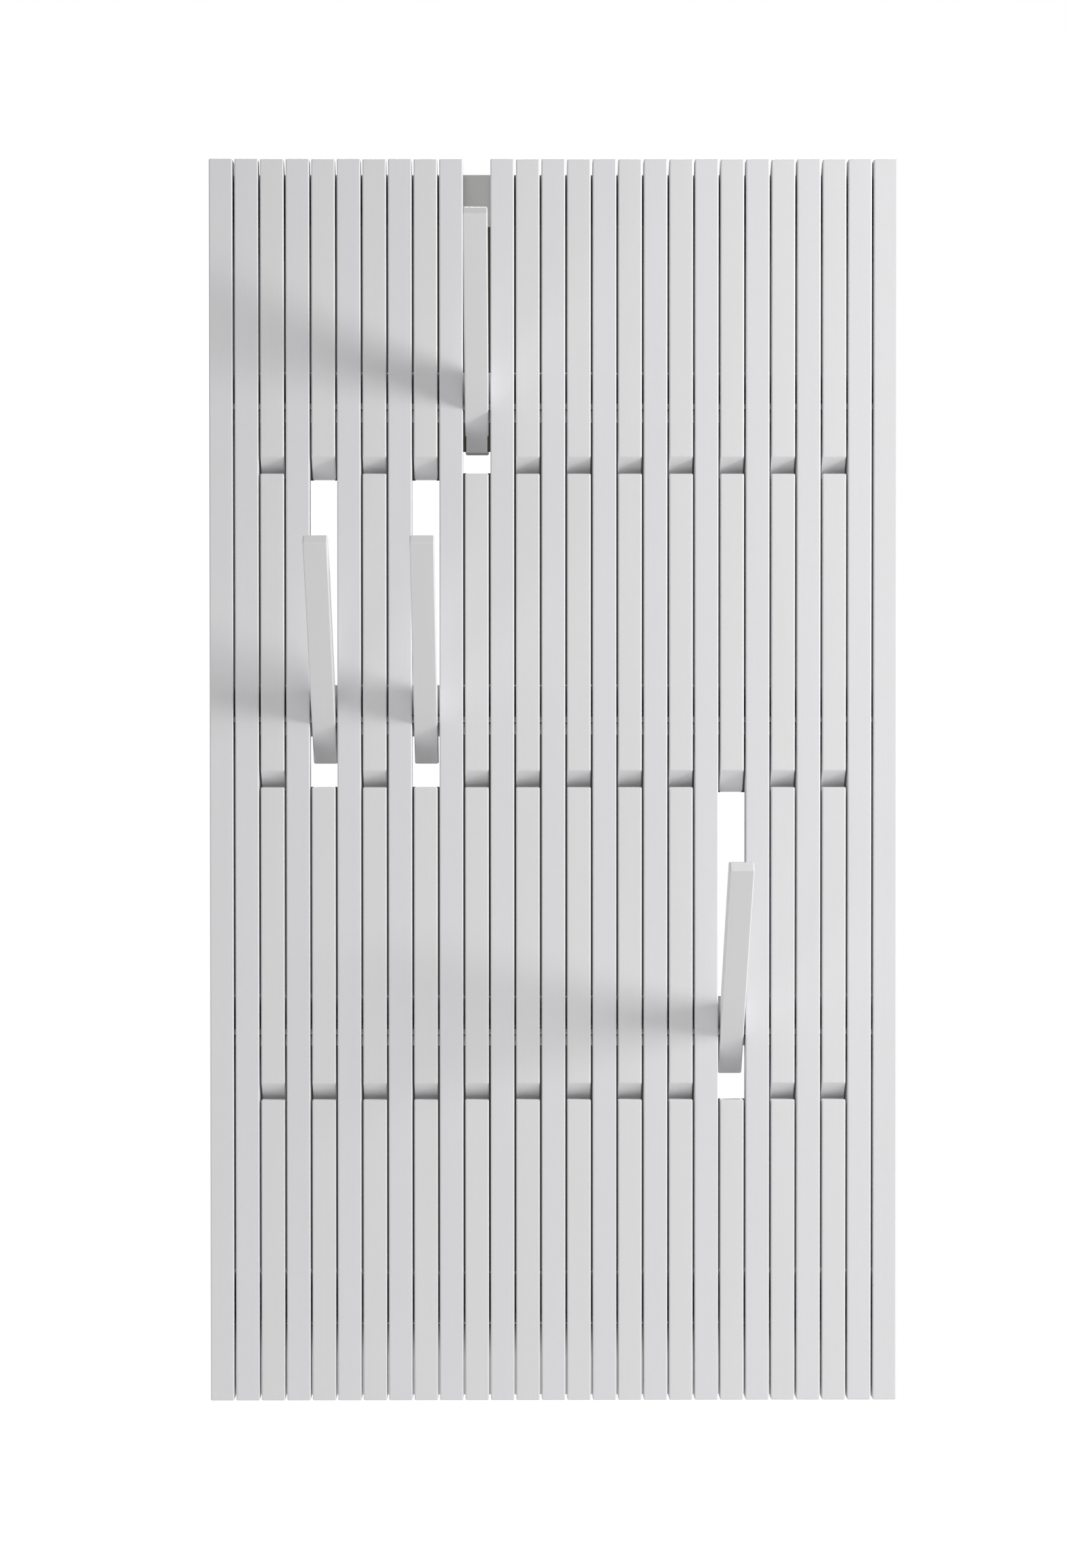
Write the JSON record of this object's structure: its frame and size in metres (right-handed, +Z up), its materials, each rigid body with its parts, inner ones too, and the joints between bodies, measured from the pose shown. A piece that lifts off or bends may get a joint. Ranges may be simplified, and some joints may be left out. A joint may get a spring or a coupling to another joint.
{
  "type": "slatted coat rack panel",
  "caption": "Wall-hung panel of upright lacquered slats; short slats between the fixed ones tip out on steel rods to become coat hooks.",
  "frame": {"origin": "centre of the hanging batten's back face, on the wall plane", "axes": "+X to the right seen from the front, +Y into the wall, +Z up; the front faces -Y"},
  "size_m": [0.7888, 0.2763, 1.425],
  "materials": {
    "slat_lacquer": "white satin lacquer over solid wood",
    "hook_lacquer": "white satin lacquer over solid wood",
    "rail_lacquer": "thin white lacquer on the hidden cross rails",
    "rod_steel": "plain drawn bar, satin"
  },
  "bodies": {
    "panel": {"cheek_left": "slat_lacquer", "cheek_right": "slat_lacquer", "slat_02": "slat_lacquer", "slat_04": "slat_lacquer", "slat_06": "slat_lacquer", "slat_08": "slat_lacquer", "slat_10": "slat_lacquer", "slat_12": "slat_lacquer", "slat_14": "slat_lacquer", "slat_16": "slat_lacquer", "slat_18": "slat_lacquer", "slat_20": "slat_lacquer", "slat_22": "slat_lacquer", "slat_24": "slat_lacquer", "slat_26": "slat_lacquer", "top_rail": "rail_lacquer", "stop_rail_1": "rail_lacquer", "stop_rail_2": "rail_lacquer", "stop_rail_3": "rail_lacquer", "lower_comb": "slat_lacquer", "rod_1": "rod_steel", "rod_2": "rod_steel", "rod_3": "rod_steel", "wall_batten": "rail_lacquer"},
    "hook_r1_c01": {"hook_r1_c01": "hook_lacquer"},
    "hook_r1_c02": {"hook_r1_c02": "hook_lacquer"},
    "hook_r1_c03": {"hook_r1_c03": "hook_lacquer"},
    "hook_r1_c04": {"hook_r1_c04": "hook_lacquer"},
    "hook_r1_c05": {"hook_r1_c05": "hook_lacquer"},
    "hook_r1_c06": {"hook_r1_c06": "hook_lacquer"},
    "hook_r1_c07": {"hook_r1_c07": "hook_lacquer"},
    "hook_r1_c08": {"hook_r1_c08": "hook_lacquer"},
    "hook_r1_c09": {"hook_r1_c09": "hook_lacquer"},
    "hook_r1_c10": {"hook_r1_c10": "hook_lacquer"},
    "hook_r1_c11": {"hook_r1_c11": "hook_lacquer"},
    "hook_r1_c12": {"hook_r1_c12": "hook_lacquer"},
    "hook_r2_c01": {"hook_r2_c01": "hook_lacquer"},
    "hook_r2_c02": {"hook_r2_c02": "hook_lacquer"},
    "hook_r2_c03": {"hook_r2_c03": "hook_lacquer"},
    "hook_r2_c04": {"hook_r2_c04": "hook_lacquer"},
    "hook_r2_c05": {"hook_r2_c05": "hook_lacquer"},
    "hook_r2_c06": {"hook_r2_c06": "hook_lacquer"},
    "hook_r2_c07": {"hook_r2_c07": "hook_lacquer"},
    "hook_r2_c08": {"hook_r2_c08": "hook_lacquer"},
    "hook_r2_c09": {"hook_r2_c09": "hook_lacquer"},
    "hook_r2_c10": {"hook_r2_c10": "hook_lacquer"},
    "hook_r2_c11": {"hook_r2_c11": "hook_lacquer"},
    "hook_r2_c12": {"hook_r2_c12": "hook_lacquer"},
    "hook_r3_c01": {"hook_r3_c01": "hook_lacquer"},
    "hook_r3_c02": {"hook_r3_c02": "hook_lacquer"},
    "hook_r3_c03": {"hook_r3_c03": "hook_lacquer"},
    "hook_r3_c04": {"hook_r3_c04": "hook_lacquer"},
    "hook_r3_c05": {"hook_r3_c05": "hook_lacquer"},
    "hook_r3_c06": {"hook_r3_c06": "hook_lacquer"},
    "hook_r3_c07": {"hook_r3_c07": "hook_lacquer"},
    "hook_r3_c08": {"hook_r3_c08": "hook_lacquer"},
    "hook_r3_c09": {"hook_r3_c09": "hook_lacquer"},
    "hook_r3_c10": {"hook_r3_c10": "hook_lacquer"},
    "hook_r3_c11": {"hook_r3_c11": "hook_lacquer"},
    "hook_r3_c12": {"hook_r3_c12": "hook_lacquer"}
  },
  "joints": [
    {"name": "flip_r1_c01", "type": "hinge", "parent": "panel", "child": "hook_r1_c01", "pos_m": [-0.3223, -0.0715, -0.2334], "axis": [1, 0, 0], "range_deg": [0, 44]},
    {"name": "flip_r1_c02", "type": "hinge", "parent": "panel", "child": "hook_r1_c02", "pos_m": [-0.2637, -0.0715, -0.2334], "axis": [1, 0, 0], "range_deg": [0, 44]},
    {"name": "flip_r1_c03", "type": "hinge", "parent": "panel", "child": "hook_r1_c03", "pos_m": [-0.2051, -0.0715, -0.2334], "axis": [1, 0, 0], "range_deg": [0, 44]},
    {"name": "flip_r1_c04", "type": "hinge", "parent": "panel", "child": "hook_r1_c04", "pos_m": [-0.1465, -0.0715, -0.2334], "axis": [1, 0, 0], "range_deg": [0, 44]},
    {"name": "flip_r1_c05", "type": "hinge", "parent": "panel", "child": "hook_r1_c05", "pos_m": [-0.0879, -0.0715, -0.2334], "axis": [1, 0, 0], "range_deg": [-44, 0]},
    {"name": "flip_r1_c06", "type": "hinge", "parent": "panel", "child": "hook_r1_c06", "pos_m": [-0.0293, -0.0715, -0.2334], "axis": [1, 0, 0], "range_deg": [0, 44]},
    {"name": "flip_r1_c07", "type": "hinge", "parent": "panel", "child": "hook_r1_c07", "pos_m": [0.0293, -0.0715, -0.2334], "axis": [1, 0, 0], "range_deg": [0, 44]},
    {"name": "flip_r1_c08", "type": "hinge", "parent": "panel", "child": "hook_r1_c08", "pos_m": [0.0879, -0.0715, -0.2334], "axis": [1, 0, 0], "range_deg": [0, 44]},
    {"name": "flip_r1_c09", "type": "hinge", "parent": "panel", "child": "hook_r1_c09", "pos_m": [0.1465, -0.0715, -0.2334], "axis": [1, 0, 0], "range_deg": [0, 44]},
    {"name": "flip_r1_c10", "type": "hinge", "parent": "panel", "child": "hook_r1_c10", "pos_m": [0.2051, -0.0715, -0.2334], "axis": [1, 0, 0], "range_deg": [0, 44]},
    {"name": "flip_r1_c11", "type": "hinge", "parent": "panel", "child": "hook_r1_c11", "pos_m": [0.2637, -0.0715, -0.2334], "axis": [1, 0, 0], "range_deg": [0, 44]},
    {"name": "flip_r1_c12", "type": "hinge", "parent": "panel", "child": "hook_r1_c12", "pos_m": [0.3223, -0.0715, -0.2334], "axis": [1, 0, 0], "range_deg": [0, 44]},
    {"name": "flip_r2_c01", "type": "hinge", "parent": "panel", "child": "hook_r2_c01", "pos_m": [-0.3223, -0.0715, -0.5929], "axis": [1, 0, 0], "range_deg": [0, 44]},
    {"name": "flip_r2_c02", "type": "hinge", "parent": "panel", "child": "hook_r2_c02", "pos_m": [-0.2637, -0.0715, -0.5929], "axis": [1, 0, 0], "range_deg": [-44, 0]},
    {"name": "flip_r2_c03", "type": "hinge", "parent": "panel", "child": "hook_r2_c03", "pos_m": [-0.2051, -0.0715, -0.5929], "axis": [1, 0, 0], "range_deg": [0, 44]},
    {"name": "flip_r2_c04", "type": "hinge", "parent": "panel", "child": "hook_r2_c04", "pos_m": [-0.1465, -0.0715, -0.5929], "axis": [1, 0, 0], "range_deg": [-44, 0]},
    {"name": "flip_r2_c05", "type": "hinge", "parent": "panel", "child": "hook_r2_c05", "pos_m": [-0.0879, -0.0715, -0.5929], "axis": [1, 0, 0], "range_deg": [0, 44]},
    {"name": "flip_r2_c06", "type": "hinge", "parent": "panel", "child": "hook_r2_c06", "pos_m": [-0.0293, -0.0715, -0.5929], "axis": [1, 0, 0], "range_deg": [0, 44]},
    {"name": "flip_r2_c07", "type": "hinge", "parent": "panel", "child": "hook_r2_c07", "pos_m": [0.0293, -0.0715, -0.5929], "axis": [1, 0, 0], "range_deg": [0, 44]},
    {"name": "flip_r2_c08", "type": "hinge", "parent": "panel", "child": "hook_r2_c08", "pos_m": [0.0879, -0.0715, -0.5929], "axis": [1, 0, 0], "range_deg": [0, 44]},
    {"name": "flip_r2_c09", "type": "hinge", "parent": "panel", "child": "hook_r2_c09", "pos_m": [0.1465, -0.0715, -0.5929], "axis": [1, 0, 0], "range_deg": [0, 44]},
    {"name": "flip_r2_c10", "type": "hinge", "parent": "panel", "child": "hook_r2_c10", "pos_m": [0.2051, -0.0715, -0.5929], "axis": [1, 0, 0], "range_deg": [0, 44]},
    {"name": "flip_r2_c11", "type": "hinge", "parent": "panel", "child": "hook_r2_c11", "pos_m": [0.2637, -0.0715, -0.5929], "axis": [1, 0, 0], "range_deg": [0, 44]},
    {"name": "flip_r2_c12", "type": "hinge", "parent": "panel", "child": "hook_r2_c12", "pos_m": [0.3223, -0.0715, -0.5929], "axis": [1, 0, 0], "range_deg": [0, 44]},
    {"name": "flip_r3_c01", "type": "hinge", "parent": "panel", "child": "hook_r3_c01", "pos_m": [-0.3223, -0.0715, -0.9524], "axis": [1, 0, 0], "range_deg": [0, 44]},
    {"name": "flip_r3_c02", "type": "hinge", "parent": "panel", "child": "hook_r3_c02", "pos_m": [-0.2637, -0.0715, -0.9524], "axis": [1, 0, 0], "range_deg": [0, 44]},
    {"name": "flip_r3_c03", "type": "hinge", "parent": "panel", "child": "hook_r3_c03", "pos_m": [-0.2051, -0.0715, -0.9524], "axis": [1, 0, 0], "range_deg": [0, 44]},
    {"name": "flip_r3_c04", "type": "hinge", "parent": "panel", "child": "hook_r3_c04", "pos_m": [-0.1465, -0.0715, -0.9524], "axis": [1, 0, 0], "range_deg": [0, 44]},
    {"name": "flip_r3_c05", "type": "hinge", "parent": "panel", "child": "hook_r3_c05", "pos_m": [-0.0879, -0.0715, -0.9524], "axis": [1, 0, 0], "range_deg": [0, 44]},
    {"name": "flip_r3_c06", "type": "hinge", "parent": "panel", "child": "hook_r3_c06", "pos_m": [-0.0293, -0.0715, -0.9524], "axis": [1, 0, 0], "range_deg": [0, 44]},
    {"name": "flip_r3_c07", "type": "hinge", "parent": "panel", "child": "hook_r3_c07", "pos_m": [0.0293, -0.0715, -0.9524], "axis": [1, 0, 0], "range_deg": [0, 44]},
    {"name": "flip_r3_c08", "type": "hinge", "parent": "panel", "child": "hook_r3_c08", "pos_m": [0.0879, -0.0715, -0.9524], "axis": [1, 0, 0], "range_deg": [0, 44]},
    {"name": "flip_r3_c09", "type": "hinge", "parent": "panel", "child": "hook_r3_c09", "pos_m": [0.1465, -0.0715, -0.9524], "axis": [1, 0, 0], "range_deg": [0, 44]},
    {"name": "flip_r3_c10", "type": "hinge", "parent": "panel", "child": "hook_r3_c10", "pos_m": [0.2051, -0.0715, -0.9524], "axis": [1, 0, 0], "range_deg": [-44, 0]},
    {"name": "flip_r3_c11", "type": "hinge", "parent": "panel", "child": "hook_r3_c11", "pos_m": [0.2637, -0.0715, -0.9524], "axis": [1, 0, 0], "range_deg": [0, 44]},
    {"name": "flip_r3_c12", "type": "hinge", "parent": "panel", "child": "hook_r3_c12", "pos_m": [0.3223, -0.0715, -0.9524], "axis": [1, 0, 0], "range_deg": [0, 44]}
  ]
}
